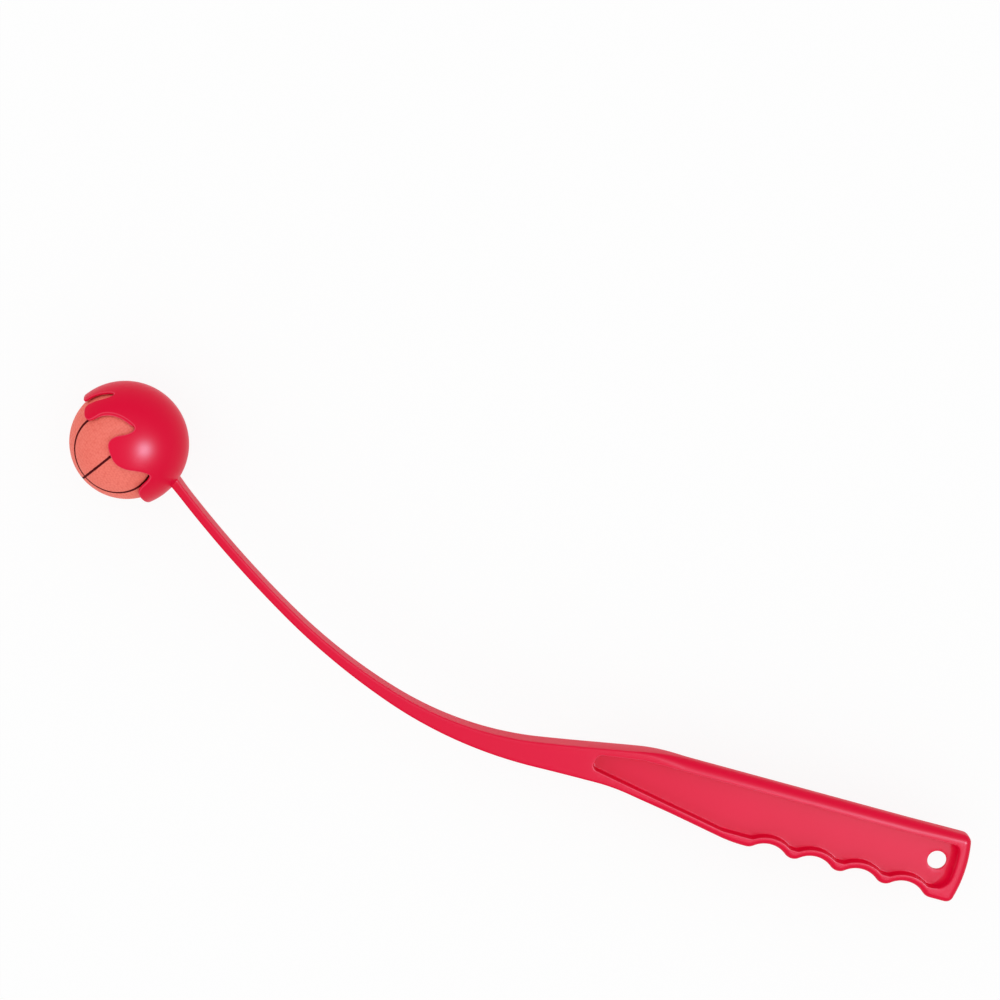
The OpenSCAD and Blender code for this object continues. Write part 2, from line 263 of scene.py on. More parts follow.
# %% Grid patches
def grid_faces(rows, columns, wrap):
    """Quads between neighbours on a grid of rows and columns, closed round each row if wrap is set."""
    i, j = np.meshgrid(np.arange(rows - 1), np.arange(columns if wrap else columns - 1), indexing="ij")
    k = (j + 1) % columns
    return np.stack([i * columns + j, i * columns + k, (i + 1) * columns + k, (i + 1) * columns + j], -1)


def grid_patch(points, wrap=True):
    """A patch from an array of shape rows, columns, 3."""
    rows, columns = points.shape[:2]
    return points.reshape(-1, 3), grid_faces(rows, columns, wrap).reshape(-1, 4)


def cap_patch(ring):
    """One flat face on a ring of points."""
    return ring, np.arange(len(ring))[None]


# %% Filled patches
EDGE_CLEARANCE = 0.6
SLIVER = 1e-5
HULL_TRIANGLES, SAME_POINT = 0, 1e-9


def inside(points, loops):
    """Even-odd rule: a line to the right of an inner point crosses the loops an odd number of times."""
    x, y = points[:, 0, None], points[:, 1, None]
    crossings = np.zeros(len(points), int)
    for loop in loops:
        a, b = loop, np.roll(loop, -1, axis=0)
        spans = (a[:, 1] > y) != (b[:, 1] > y)
        rise = np.where(b[:, 1] == a[:, 1], 1, b[:, 1] - a[:, 1])
        crossings += np.sum(spans & (x < a[:, 0] + (y - a[:, 1]) * (b[:, 0] - a[:, 0]) / rise), axis=1)
    return crossings % 2 == 1


def hexagon_grid(low, high, spacing):
    """Rows of points, every other one moved by half a step, so that neighbours are equally far apart."""
    x = np.arange(low[0], high[0], spacing)
    y = np.arange(low[1], high[1], spacing * np.sqrt(3) / 2)
    shift = (np.arange(len(y)) % 2) * spacing / 2
    across = x[None] + shift[:, None]
    return np.stack([across, np.broadcast_to(y[:, None], across.shape)], -1).reshape(-1, 2)


def fill(loops, spacing):
    """Triangles inside the first loop and outside the others, as (points, faces) in the plane.

    The loops' own points and a hexagonal grid between them are joined by a constrained Delaunay mesh.
    Slivers between points of one straight edge are left out."""
    edge = np.vstack(loops)
    grid = hexagon_grid(edge.min(axis=0), edge.max(axis=0), spacing)
    grid = grid[inside(grid, loops)]
    nearest = np.min(np.hypot(*(grid[:, None] - edge[None]).transpose(2, 0, 1)), axis=1)
    points = np.vstack([edge, grid[nearest > spacing * EDGE_CLEARANCE]])
    starts = np.cumsum([0] + [len(loop) for loop in loops[:-1]])
    rims = [np.column_stack([np.arange(len(loop)), np.roll(np.arange(len(loop)), -1)]) + start
            for loop, start in zip(loops, starts)]
    found, _, triangles, *_ = delaunay_2d_cdt(
        points.tolist(), np.vstack(rims).tolist(), [], HULL_TRIANGLES, SAME_POINT)
    found = np.array([point[:] for point in found])
    triangles = np.array(triangles)
    a, b, c = found[triangles].transpose(1, 0, 2)
    area = np.abs(np.cross(b - a, c - a)) / 2
    return found, triangles[inside((a + b + c) / 3, loops) & (area > SLIVER * spacing ** 2)]


# %% Painted edge highlight
EDGE_HIGHLIGHT_BEND = (0.9, 1.8)
QUAD_SIDES = 4


def smooth(share):
    """An S-shaped step from 0 to 1."""
    u = np.clip(share, 0, 1)
    return u * u * (3 - 2 * u)


def read(items, name, width=1):
    """One property of all the points, edges, loops or faces of a mesh, as an array."""
    values = np.empty(len(items) * width, float if name in ("normal", "center") else int)
    items.foreach_get(name, values)
    return values.reshape(-1, width) if width > 1 else values


def mark_edge_highlight(mesh):
    """Stores from 0 to 1 how far each point lies on a sharp edge, which gets a painted highlight.

    At an edge of the mesh the bend is the angle between the two faces for each millimetre between their
    middles. It counts where the faces fall away from each other and neither is a flat cap, and a point
    takes its sharpest bend."""
    normal = read(mesh.polygons, "normal", 3)
    centre = read(mesh.polygons, "center", 3)
    sides = read(mesh.polygons, "loop_total")
    order = np.argsort(read(mesh.loops, "edge_index"), kind="stable")
    first, second = np.repeat(np.arange(len(sides)), sides)[order].reshape(-1, 2).T
    span = (centre[second] - centre[first]) / MM
    turn = np.arccos(np.clip(np.sum(normal[first] * normal[second], axis=1), -1, 1))
    falls_away = np.sum(normal[first] * span, axis=1) < 0
    no_cap = np.maximum(sides[first], sides[second]) <= QUAD_SIDES
    bend = np.where(falls_away & no_cap, turn / np.linalg.norm(span, axis=1), 0)
    sharpest = np.zeros(len(mesh.vertices))
    for ends in read(mesh.edges, "vertices", 2).T:
        np.maximum.at(sharpest, ends, bend)
    share = smooth((sharpest - EDGE_HIGHLIGHT_BEND[0]) / (EDGE_HIGHLIGHT_BEND[1] - EDGE_HIGHLIGHT_BEND[0]))
    mesh.attributes.new("painted_edge_highlight", "FLOAT", "POINT").data.foreach_set("value", share)


# %% Sewing
SEW_DISTANCE = 2e-6


def sew(name, patches, sharp_angle):
    """A closed mesh object from patches in millimetres.

    Doubles are merged, faces point outward, and an edge is smooth up to the sharp angle in degrees."""
    starts = np.cumsum([0] + [len(points) for points, _ in patches[:-1]])
    points = np.vstack([points for points, _ in patches]) * MM
    faces = [face for (_, rows), start in zip(patches, starts) for face in (rows + start).tolist()]
    mesh = bpy.data.meshes.new(name)
    mesh.from_pydata(points.tolist(), [], faces)
    skin = bmesh.new()
    skin.from_mesh(mesh)
    bmesh.ops.remove_doubles(skin, verts=skin.verts, dist=SEW_DISTANCE)
    bmesh.ops.recalc_face_normals(skin, faces=skin.faces)
    open_edges = sum(not edge.is_manifold for edge in skin.edges)
    skin.to_mesh(mesh)
    skin.free()
    mesh.polygons.foreach_set("use_smooth", np.ones(len(mesh.polygons), bool))
    mesh.set_sharp_from_angle(angle=np.radians(sharp_angle))
    # A closed mesh stores where the paler edge highlight is painted.
    if open_edges == 0:
        mark_edge_highlight(mesh)
    piece = bpy.data.objects.new(name, mesh)
    bpy.context.scene.collection.objects.link(piece)
    print(name, "faces", len(mesh.polygons), "open edges", open_edges)
    return piece


# %% [markdown]
# ## The strap
# The strap is the spring of the launcher: a flat bar, bowed in one plane and deeper at the handle. Its
# middle line is one straight stretch and three arcs, and its section is a rectangle with small round edges
# that is carried along that line. A bevelled curve could only scale the whole section, but here the depth
# grows much more than the thickness does, so each ring is worked out with its own two sizes.

# %% Middle line of the strap
STRAP_START = np.array([-197, 2.3])
STRAP_HEADING = 185.5
BENDS = ((25, 0), (84.5, 204), (70.5, 332), (90, 645))
STRAP_LENGTH = sum(length for length, _ in BENDS)


def heading(degrees):
    """Unit vectors in the plane."""
    a = np.radians(degrees)
    return np.stack([np.cos(a), np.sin(a)], -1)


def left_of(v):
    """The vectors turned a quarter turn to the left."""
    return np.stack([-v[..., 1], v[..., 0]], -1)


def middle_line(s):
    """Points and headings at lengths s: each bend, a length and a radius, starts where the last one ended.

    A radius of 0 stands for a straight stretch, and the others turn to the right."""
    rest = np.asarray(s, float)
    point = np.broadcast_to(STRAP_START, rest.shape + (2,)).astype(float)
    turn = np.full(rest.shape, float(STRAP_HEADING))
    for i, (length, radius) in enumerate(BENDS):
        step = np.clip(rest, 0, None if i == len(BENDS) - 1 else length)
        if radius == 0:
            point = point + step[..., None] * heading(turn)
        else:
            centre = point - radius * left_of(heading(turn))
            turn = turn - np.degrees(step / radius)
            point = centre + radius * left_of(heading(turn))
        rest = rest - length
    return point, turn


neck_end, neck_turn = middle_line(STRAP_LENGTH)
print("strap", STRAP_LENGTH, "mm long, from", STRAP_START, "to", neck_end.round(1))

# %% Section of the strap
STRAP_DEPTH, ROOT_DEPTH, SWELL_LENGTH, SWELL_POWER = 4.6, 17.7, 230, 3
STRAP_THICK, GRIP_THICK = 12, 14
STRAP_EDGE, EDGE_FULLNESS = 1.4, 0.6
NECK_LENGTH, NECK_SWELL = 9, 0.2


def mix(a, b, share):
    """A straight blend from a to b."""
    return a + (b - a) * share


def strap_size(s):
    """Depth and half thickness at lengths s, which grow by powers of the nearness to handle and cup."""
    near_grip = np.clip(1 - s / SWELL_LENGTH, 0, None)
    near_cup = NECK_SWELL * np.clip(1 - (STRAP_LENGTH - s) / NECK_LENGTH, 0, 1) ** 2
    depth = mix(STRAP_DEPTH, ROOT_DEPTH, near_grip ** SWELL_POWER) + 2 * near_cup
    half_thick = mix(STRAP_THICK, GRIP_THICK, near_grip ** 2) / 2 + near_cup
    return depth, half_thick


def bar_section(arc_steps=6, side_share=0.82):
    """One lap of a rounded bar: corner signs and the arc's cosine and sine, with points on the flats.

    A flat's points carry the share of the way to the corner instead of its sign."""
    a = np.radians(np.linspace(0, 90, arc_steps + 1))
    laps = []
    for quarter in range(4):
        sign = np.sign(heading(45 + 90 * quarter))
        arc = np.column_stack([np.cos(a + quarter * np.pi / 2), np.sin(a + quarter * np.pi / 2)])
        laps.append(np.hstack([np.tile(sign, (len(a), 1)), arc]))
        flat = heading(90 + 90 * quarter).round(9)
        along = np.sign(heading(45 + 90 * quarter) - flat).round() * (np.abs(flat) < 0.5)
        shares = np.array([side_share, -side_share])[:, None]
        laps.append(np.hstack([flat + along * shares, np.tile(flat, (2, 1))]))
    return np.vstack(laps)


SECTION = bar_section()


def strap_points(s, lap=SECTION):
    """Surface of the strap: s has a last axis of 1 or of one entry for each point of the lap.

    A point lies off the middle line by its corner's place and its share of the round edge."""
    s = np.asarray(s, float)
    point, turn = middle_line(s)
    depth, half_thick = strap_size(s)
    across = lap[:, 0] * (depth / 2 - STRAP_EDGE) + lap[:, 2] * STRAP_EDGE
    tall = STRAP_EDGE * EDGE_FULLNESS
    height = lap[:, 1] * (half_thick - tall) + lap[:, 3] * tall
    flat = point - left_of(heading(turn)) * across[..., None]
    return np.concatenate([np.broadcast_to(flat, height.shape + (2,)), height[..., None]], -1)


print("section of", len(SECTION), "points")

# %% Build the strap
STRAP_RINGS = 150
SHARP_PLASTIC = 50


def make_strap():
    """Rings along the middle line, closed by a flat cap at each end."""
    rings = strap_points(np.linspace(0, STRAP_LENGTH - NECK_LENGTH, STRAP_RINGS)[:, None])
    patches = [grid_patch(rings), cap_patch(rings[0]), cap_patch(rings[-1])]
    return sew("shaft_strap", patches, SHARP_PLASTIC)


strap = make_strap()

# %% [markdown]
# ## The cup
# The cup is a thin ball-shaped shell. Its lobes bend a little when the ball is pressed in and hold it by
# their tips. A sphere cut by a shape would leave knife edges, so the lip is built first: a round profile
# carried along the lobed rim. Then the two skins are filled in up to the lip, on a map of the sphere seen
# from its back. The neck runs into the outer skin with a small fillet, and its footprint is a hole in
# that fill.

# %% Rim of the cup
BALL_D, BALL_PLAY, CUP_WALL = 59.4, 1.5, 1.6
CUP_RI = BALL_D / 2 + BALL_PLAY
CUP_RO = CUP_RI + CUP_WALL
CUP_LEAN, CUP_OPENS = 16, 84
RIM_POINTS = 640
RIM_CORNERS = (
    (-90, 81), (-78, 81), (-70.5, 81), (-70, 92), (-64, 106), (-61, 110.5), (-57, 111),
    (-55.5, 103), (-58.5, 92), (-60, 82), (-52, 78.5), (-43.5, 78.5), (-39.5, 84), (-40.5, 96), (-31, 109),
    (-16, 116.5), (-10.2, 115.2), (-10, 107), (-14.5, 96), (-12, 87), (-1, 84), (8, 83.3),
    (17, 88), (27, 99), (37, 104), (40.5, 99.5), (43, 87), (54, 81.5), (90, 81),
)
UP = np.array([0, 0, 1])

cup_centre = np.append(neck_end + CUP_RO * heading(neck_turn + CUP_LEAN), 0)
cup_axis = np.append(heading(neck_turn + CUP_OPENS), 0)
cup_side = np.cross(UP, cup_axis)


def from_angles(azimuth, polar):
    """Unit vectors from the cup's centre: polar is the angle from the way it opens, azimuth starts at +Z."""
    a, p = np.radians(azimuth), np.radians(polar)
    ring = np.cos(a)[..., None] * UP + np.sin(a)[..., None] * cup_side
    return np.cos(p)[..., None] * cup_axis + np.sin(p)[..., None] * ring


def resample(points, count):
    """Points at even steps along the closed line through the given ones."""
    line = np.vstack([points, points[:1]])
    walked = np.append(0, np.cumsum(np.linalg.norm(np.diff(line, axis=0), axis=1)))
    stops = np.linspace(0, walked[-1], count, endpoint=False)
    return np.column_stack([np.interp(stops, walked, column) for column in line.T])


def rim_curve(steps=24):
    """Unit vectors along the rim: each corner bends a parabola between the middles of its two sides.

    The corners are azimuth and polar angles on the upper half, and the lower half mirrors them."""
    half = np.array(RIM_CORNERS)
    corner = np.vstack([half, half[-2:0:-1] * (-1, 1) + (180, 0)])
    before = np.roll(corner, 1, axis=0) - np.eye(len(corner), 1) * (360, 0)
    after = np.roll(corner, -1, axis=0) + np.eye(len(corner), 1, 1 - len(corner)) * (360, 0)
    u = np.linspace(0, 1, steps, endpoint=False)[None, :, None]
    start, end = (before + corner)[:, None] / 2, (corner + after)[:, None] / 2
    curve = (start * (1 - u) ** 2 + 2 * u * (1 - u) * corner[:, None] + end * u ** 2).reshape(-1, 2)
    ways = resample(from_angles(curve[:, 0], curve[:, 1]), RIM_POINTS)
    return ways / np.linalg.norm(ways, axis=1)[:, None]


rim = rim_curve()
rim_along = np.roll(rim, -1, axis=0) - np.roll(rim, 1, axis=0)
rim_inward = np.cross(rim, rim_along / np.linalg.norm(rim_along, axis=1)[:, None])
print("rim", RIM_POINTS, "points, cup centre", cup_centre.round(2))

# %% Lip of the cup
LIP_STEPS = 6
LIP_OUT, LIP_IN = 0.7, 0.4
NOTCH_SLANT, NOTCH_SPAN, NOTCH_BLEND = 0.9, (-48, -13), 6
NOTCH_TOP, NOTCH_GROWTH = 82, 16


def lip_points():
    """The lip: from the outer skin round an arc, across the wall, and round an arc to the inner skin.

    In the upper notch the wall's edge slants, so that the inner skin reaches further than the outer one.
    A point at distance d into the material lies on the great circle from the rim along its inward normal."""
    a = np.radians(np.linspace(0, 90, LIP_STEPS + 1))[:, None]
    azimuth = np.degrees(np.arctan2(rim @ cup_side, np.abs(rim @ UP)))
    polar = np.degrees(np.arccos(rim @ cup_axis))
    past_start = smooth((azimuth - NOTCH_SPAN[0]) / NOTCH_BLEND)
    before_end = smooth((NOTCH_SPAN[1] - azimuth) / NOTCH_BLEND)
    in_notch = past_start * before_end * smooth((polar - NOTCH_TOP) / NOTCH_GROWTH)
    outer = np.broadcast_to(LIP_OUT * (1 - np.sin(a)), (len(a), len(rim)))
    d = np.vstack([outer, LIP_IN * (1 - np.cos(a)) - NOTCH_SLANT * in_notch])[..., None]
    r = np.vstack([CUP_RO - LIP_OUT * (1 - np.cos(a)), CUP_RI + LIP_IN * (1 - np.sin(a))])[..., None]
    return cup_centre + r * (rim * np.cos(d / r) + rim_inward * np.sin(d / r))


cup_lip = lip_points()
print("lip of", len(cup_lip), "rows from the outer to the inner skin")

# %% Neck of the cup
NECK_FILLET = 0.8
NECK_RINGS = 8
HALVINGS = 40


def reach_sphere(radius, lap):
    """Length along the strap at which each of its edges meets a sphere, found by halving."""
    near = np.full(radius.shape[:-1] + (len(lap),), STRAP_LENGTH - NECK_LENGTH, float)
    far = near + 2 * NECK_LENGTH
    for _ in range(HALVINGS):
        middle = (near + far) / 2
        outside = np.linalg.norm(strap_points(middle, lap) - cup_centre, axis=-1) > radius
        near = np.where(outside, middle, near)
        far = np.where(outside, far, middle)
    return near


def neck_rings():
    """The neck: straight rings up to the fillet, then a quarter arc that swings out on to the sphere."""
    a = np.radians(np.linspace(0, 90, NECK_RINGS))[:, None]
    lift = NECK_FILLET * (1 - np.sin(a))
    s = reach_sphere(CUP_RO + lift, SECTION)
    start = STRAP_LENGTH - NECK_LENGTH
    straight = strap_points(mix(start, s[0], np.linspace(0, 1, NECK_RINGS)[:-1, None]))
    back = -left_of(heading(neck_turn))
    outward = np.column_stack([SECTION[:, 2:3] * back, SECTION[:, 3]])
    way = strap_points(s) + outward * (NECK_FILLET * (1 - np.cos(a)))[..., None] - cup_centre
    arc = cup_centre + way / np.linalg.norm(way, axis=-1)[..., None] * (CUP_RO + lift)[..., None]
    return np.concatenate([straight, arc])


cup_neck = neck_rings()
print("neck of", len(cup_neck), "rings")

# %% Skins of the cup
SKIN_SPACING = 1.25


def to_map(points):
    """Flat map of the sphere: distance from the back pole, in radians, by azimuth."""
    way = points - cup_centre
    polar = np.arccos(way @ cup_axis / np.linalg.norm(way, axis=-1))
    azimuth = np.arctan2(way @ cup_side, way @ UP)
    return (np.pi - polar)[..., None] * np.stack([np.cos(azimuth), np.sin(azimuth)], -1)


def from_map(spots, radius):
    """Points on the sphere of that radius for spots on the map."""
    polar = np.pi - np.hypot(spots[:, 0], spots[:, 1])
    azimuth = np.arctan2(spots[:, 1], spots[:, 0])
    return cup_centre + radius * from_angles(np.degrees(azimuth), np.degrees(polar))


def skin_patch(loops, radius):
    """A filled patch of the sphere inside the first loop and outside the others."""
    spots, triangles = fill([to_map(loop) for loop in loops], SKIN_SPACING / radius)
    return from_map(spots, radius), triangles


def make_cup():
    """Sews the lip to the two skins, and the outer skin to the neck."""
    outer = skin_patch([cup_lip[0], cup_neck[-1]], CUP_RO)
    inner = skin_patch([cup_lip[-1]], CUP_RI)
    patches = [grid_patch(cup_lip), outer, inner, grid_patch(cup_neck), cap_patch(cup_neck[0])]
    return sew("cup_shell", patches, SHARP_PLASTIC)


cup = make_cup()

# %% [markdown]
# ## The handle
# The handle is a beam like an I: a thick bead all round, and a thin web between two shallow pockets that
# save plastic and cool evenly. Its outline is straight stretches joined by parabolas, arcs for the fingers
# and a wide arc at the butt. A Bevel on a plain block would give every edge one radius, but here the bead is
# fuller along the back than at the fingers. So each edge is a profile carried along an outline, and the flats
# between are filled.

# %% Driving points of the handle
BACK_Y, GRIP_Y, HEEL_Y = 18.2, 19.2, 20
BUTT_X, BUTT_R, BUTT_MID_Y, BUTT_CORNER = 15.7, 71, -0.2, 4.6
ROOT_SLOPE, FORE_SLOPE, FORE_LEVEL = 5.5, 10.6, 8.4
FINGERS, FINGER_PITCH, FINGER_DEPTH, FINGER_TIP, FINGER_BACK = 4, 25.5, 4.5, 6.4, 12.4
ROOT_SIDES = np.array([[1, 0, 1, 0], [-1, 0, -1, 0]])


def tan(degrees):
    """Rise of a line at a slope in degrees."""
    return np.tan(np.radians(degrees))


root_back, root_grip = strap_points(np.zeros(1), ROOT_SIDES)[:, :2]
root_flare = np.degrees(np.arctan(SWELL_POWER / 2 * (ROOT_DEPTH - STRAP_DEPTH) / SWELL_LENGTH))
back_slope, wrist_slope = ROOT_SLOPE + root_flare, ROOT_SLOPE - root_flare
back_knee = root_back[0] + (BACK_Y - root_back[1]) / tan(back_slope)
half_pitch = FINGER_PITCH / 2
tip_span = (half_pitch ** 2 + FINGER_DEPTH ** 2) / (2 * FINGER_DEPTH)
groove_r = tip_span - FINGER_TIP
groove_y = -GRIP_Y + FINGER_DEPTH - groove_r
groove_x = -FINGER_BACK - np.arange(FINGERS)[::-1] * FINGER_PITCH
first_tip_x = groove_x[0] - half_pitch
heel_tip_y = FINGER_TIP - HEEL_Y
heel_tip_x = groove_x[-1] + np.sqrt(tip_span ** 2 - (heel_tip_y - groove_y) ** 2)
fore_knee = first_tip_x - FORE_LEVEL
wrist_rise = -GRIP_Y - root_grip[1] + fore_knee * tan(FORE_SLOPE) + root_grip[0] * tan(wrist_slope)
wrist_knee = wrist_rise / (tan(FORE_SLOPE) + tan(wrist_slope))
butt_centre = np.array([BUTT_X - BUTT_R, BUTT_MID_Y])
print("knees at", np.round([back_knee, wrist_knee, fore_knee], 1), "grooves at", groove_x)

# %% Edges of the handle
KNEE_BLEND, FORE_BLEND = 10, 7


def bent(x, knee, y, slope_a, slope_b, blend):
    """Two lines that meet at the knee, joined by a parabola over the blend on each side."""
    d = x - knee
    a, b = tan(slope_a), tan(slope_b)
    curve = y + a * d + (b - a) * (d + blend) ** 2 / (4 * blend)
    return np.where(d <= -blend, y + a * d, np.where(d >= blend, y + b * d, curve))


def back_edge(x):
    """Height of the back edge: the strap's slope, then level."""
    return bent(x, back_knee, BACK_Y, back_slope, 0, KNEE_BLEND)


def fore_edge(x):
    """Height of the grip edge ahead of the fingers: the wrist, a slope and a level stretch."""
    wrist_y = -GRIP_Y + (fore_knee - wrist_knee) * tan(FORE_SLOPE)
    wrist = bent(x, wrist_knee, wrist_y, wrist_slope, -FORE_SLOPE, KNEE_BLEND)
    level = bent(x, fore_knee, -GRIP_Y, -FORE_SLOPE, 0, FORE_BLEND)
    return np.where(x < (wrist_knee + fore_knee) / 2, wrist, level)


def grip_edge(x):
    """Height of the grip edge: groove arcs, and tip arcs that touch them on each side."""
    i = np.clip(np.floor((x - first_tip_x) / FINGER_PITCH), 0, FINGERS - 1).astype(int)
    d = x - groove_x[i]
    heel = (i == FINGERS - 1) & (d > 0)
    tip_x = np.where(heel, heel_tip_x, groove_x[i] + np.sign(d) * half_pitch)
    tip_y = np.where(heel, heel_tip_y, FINGER_TIP - GRIP_Y)
    touch = np.abs(tip_x - groove_x[i]) * groove_r / tip_span
    hollow = groove_y + np.sqrt(np.clip(groove_r ** 2 - d ** 2, 0, None))
    tip = tip_y - np.sqrt(np.clip(FINGER_TIP ** 2 - (x - tip_x) ** 2, 0, None))
    fingers = np.where(np.abs(d) <= touch, hollow, tip)
    return np.where(x <= first_tip_x, fore_edge(x), np.where(x >= heel_tip_x, -HEEL_Y, fingers))


print("grip edge in the grooves:", grip_edge(groove_x).round(2))

# %% Outline of the handle
OUTLINE_STEP = 0.7
FEWEST_ARC_POINTS = 8


def corner_centre(y):
    """Centre of a butt corner at that height: the corner's arc touches the butt's wide arc."""
    reach = (BUTT_R - BUTT_CORNER) ** 2 - (y - BUTT_MID_Y) ** 2
    return np.array([butt_centre[0] + np.sqrt(reach), y])


def arc_points(centre, radius, start, end):
    """Points along an arc between two angles, about one outline step apart."""
    count = max(int(np.radians(abs(end - start)) * radius / OUTLINE_STEP), FEWEST_ARC_POINTS)
    return centre + radius * heading(np.linspace(start, end, count))


def handle_outline():
    """The outline from the strap's back edge round the butt to its grip edge."""
    back_corner = corner_centre(BACK_Y - BUTT_CORNER)
    heel_corner = corner_centre(BUTT_CORNER - HEEL_Y)
    back_touch, heel_touch = [
        np.degrees(np.arctan2(*(corner - butt_centre)[::-1])) for corner in (back_corner, heel_corner)
    ]
    back_x = np.arange(root_back[0], back_corner[0], OUTLINE_STEP)
    grip_x = np.append(np.arange(heel_corner[0], root_grip[0], -OUTLINE_STEP), root_grip[0])
    return np.vstack([
        np.column_stack([back_x, back_edge(back_x)]),
        arc_points(back_corner, BUTT_CORNER, 90, back_touch)[:-1],
        arc_points(butt_centre, BUTT_R, back_touch, heel_touch)[:-1],
        arc_points(heel_corner, BUTT_CORNER, heel_touch, -90)[:-1],
        np.column_stack([grip_x, grip_edge(grip_x)]),
    ])


outline = handle_outline()
outline_inward = -left_of(np.gradient(outline, axis=0))
outline_inward /= np.linalg.norm(outline_inward, axis=1)[:, None]
outline_inward[[0, -1]] = np.array([[1], [-1]]) * left_of(heading(STRAP_HEADING))
print("outline", len(outline), "points, from", outline[0].round(1), "to", outline[-1].round(1))

# %% [markdown]
# ### The pocket
# The pocket follows the outline at the width of the rim. A cutter with a round tip leaves round corners, so
# the outline is what a disc can reach: first the heights at which its centre can travel between the floor
# line and the roof line, then the lowest and highest that its edge gets to.

# %% Reach of a round cutter
SCAN_STEP = 0.05


def windows(values, count, outer):
    """Each value with count neighbours on both sides, as rows."""
    padded = np.pad(values, count, constant_values=outer)
    return np.lib.stride_tricks.sliding_window_view(padded, 2 * count + 1)


def reached_by_disc(floor, roof, radius):
    """Floor and roof lines that a disc can touch. Its centre stays a radius clear of both lines."""
    count = int(radius / SCAN_STEP)
    bulge = np.sqrt(np.clip(radius ** 2 - (np.arange(-count, count + 1) * SCAN_STEP) ** 2, 0, None))
    low = np.max(windows(floor, count, np.inf) + bulge, axis=1)
    high = np.min(windows(roof, count, -np.inf) - bulge, axis=1)
    fits = low <= high
    low, high = np.where(fits, low, np.inf), np.where(fits, high, -np.inf)
    lowest = np.min(windows(low, count, np.inf) - bulge, axis=1)
    highest = np.max(windows(high, count, -np.inf) + bulge, axis=1)
    return lowest, highest


# %% Outline of the pocket
BACK_RIM, GRIP_RIM, TIP_RIM, BUTT_RIM = 5.9, 4, 5.2, 6.5
POCKET_START, POCKET_FRONT, POCKET_LEAN, ROOF_LEAD = 4.5, 8.2, 1.8, 8
POCKET_CORNER, POCKET_BACK, POCKET_HEEL = 3.4, 4.4, 9
POCKET_POINTS = 720
SCAN_MARGIN = 1

pocket_nose = root_back[0] + POCKET_START
pocket_roof, pocket_sole = BACK_Y - BACK_RIM, TIP_RIM - GRIP_Y


def pocket_end(x):
    """Floor and roof lines towards the butt: two level lines that end at an arc, with a corner disc each."""
    end_room = (BUTT_R - BUTT_RIM) ** 2 - (x - butt_centre[0]) ** 2
    end_half = np.where(end_room > 0, np.sqrt(np.clip(end_room, 0, None)), -np.inf)
    end_half = np.where(x < first_tip_x, np.inf, end_half)
    floor = np.maximum(pocket_sole, BUTT_MID_Y - end_half)
    roof = np.minimum(pocket_roof, BUTT_MID_Y + end_half)
    return reached_by_disc(floor, roof, POCKET_HEEL)[0], reached_by_disc(floor, roof, POCKET_BACK)[1]


def pocket_outline():
    """Closed outline of the pocket, clockwise from its nose along the roof.

    Ahead of the knee the roof is the lower of a steep front and a ramp. The floor is the highest of the
    fore slope, the arcs that keep the rim's width at the grooves, and the floor at the butt."""
    x = np.arange(pocket_nose - SCAN_MARGIN, BUTT_X, SCAN_STEP)
    floor, roof = pocket_end(x)
    fore = -GRIP_Y + (fore_knee - x) * tan(FORE_SLOPE) + GRIP_RIM / np.cos(np.radians(FORE_SLOPE))
    nose_y = fore[np.searchsorted(x, pocket_nose)]
    front = nose_y + (x - pocket_nose) * POCKET_FRONT / POCKET_LEAN
    nose_top = np.array([pocket_nose + POCKET_LEAN, nose_y + POCKET_FRONT])
    knee_x = back_knee - ROOF_LEAD
    ramp = nose_top[1] + (x - nose_top[0]) * (pocket_roof - nose_top[1]) / (knee_x - nose_top[0])
    ahead = x < knee_x
    roof = np.where(ahead, np.minimum(ramp, front), roof)
    reach = groove_r + GRIP_RIM
    d = np.min(np.abs(x[:, None] - groove_x), axis=1)
    bump = np.where(d < reach, groove_y + np.sqrt(np.clip(reach ** 2 - d ** 2, 0, None)), -np.inf)
    floor = np.where(ahead, fore, np.maximum(np.maximum(fore, bump), floor))
    floor, roof = reached_by_disc(floor, roof, POCKET_CORNER)
    real = roof > floor
    x, floor, roof = x[real], floor[real], roof[real]
    loop = np.vstack([np.column_stack([x, roof]), np.column_stack([x, floor])[::-1]])
    return resample(loop, POCKET_POINTS)


pocket = pocket_outline()
pocket_inward = -left_of(np.roll(pocket, -1, axis=0) - np.roll(pocket, 1, axis=0))
pocket_inward /= np.linalg.norm(pocket_inward, axis=1)[:, None]
print("pocket from", pocket.min(axis=0).round(1), "to", pocket.max(axis=0).round(1))

# %% [markdown]
# ### Bead, wall and web
# The bead is a quarter ellipse that runs down to the mid-plane, so its mirror image closes the edge. The
# pocket's wall is drafted, as a moulding must be to leave its tool, and runs into the web with a fillet. The
# hanging hole has a small round at each face. A modifier would round all of these alike, so each one is rows
# of points: its outline moved inward, or a circle widened, at set heights.

# %% Bead of the handle
BACK_BEAD, GRIP_BEAD, CORNER_BEAD = 5.3, 3, 4.2
BEAD_BLEND, KNEE_LEAD, CORNER_LEAD = 34, 0.5, 1.2
BEAD_STEPS = 11
BEAD_FULLNESS = 1.1
LEAST_WALL = 0.4
grip_half = GRIP_THICK / 2


def stack(line, inward, offset, height):
    """A grid of points: the outline moved inward by each offset, at each height. Rows go by offset."""
    flat = line + inward * offset[..., None]
    return np.concatenate([flat, np.broadcast_to(height, offset.shape)[..., None]], -1)


def past_knee(x):
    """From 0 on the strap's side of the back knee to 1 on the handle's side, over the blend."""
    return smooth((x - back_knee) / BEAD_BLEND + KNEE_LEAD)


